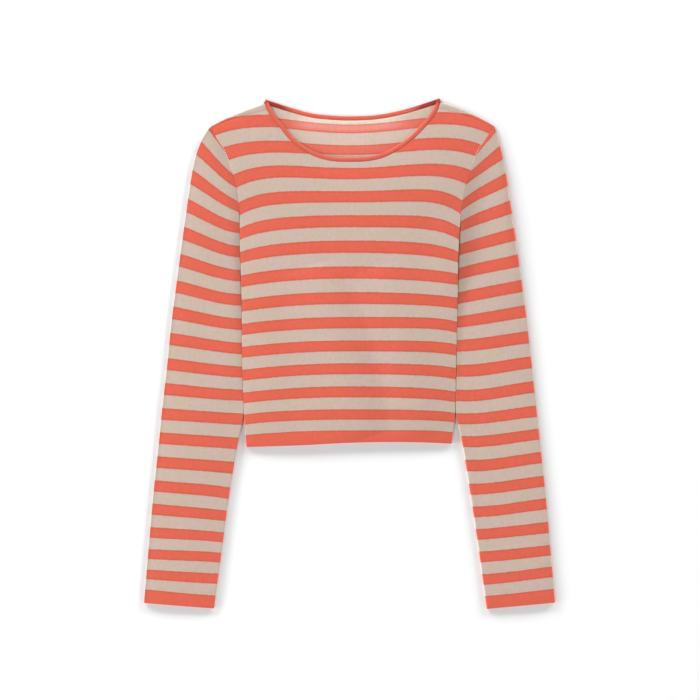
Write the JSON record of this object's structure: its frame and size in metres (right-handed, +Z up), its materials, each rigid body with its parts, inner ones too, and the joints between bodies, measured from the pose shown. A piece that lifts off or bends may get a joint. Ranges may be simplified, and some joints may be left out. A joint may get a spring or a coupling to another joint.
{
  "type": "long-sleeve t-shirt",
  "caption": "Cropped long-sleeve top in fine striped knit with a round neck and narrow rolled neck binding, laid flat on its back with the sleeves straight down beside the body.",
  "frame": {"origin": "centre of the laid garment's bounding box, on the surface that it lies on", "axes": "+X towards the wearer's left sleeve, +Y from the hem towards the neck, +Z up from the surface, out of the front"},
  "size_m": [0.5346, 0.664, 0.0047],
  "materials": {
    "striped_knit": "matt fine-gauge knit in even coral and beige stripes across the body and the sleeves",
    "neck_binding": "matt coral knit, rolled and linked on as a narrow binding"
  },
  "bodies": {
    "root": {"back": "striped_knit", "front": "striped_knit", "sleeve_right": "striped_knit", "sleeve_left": "striped_knit", "neckband": "neck_binding"}
  },
  "joints": []
}
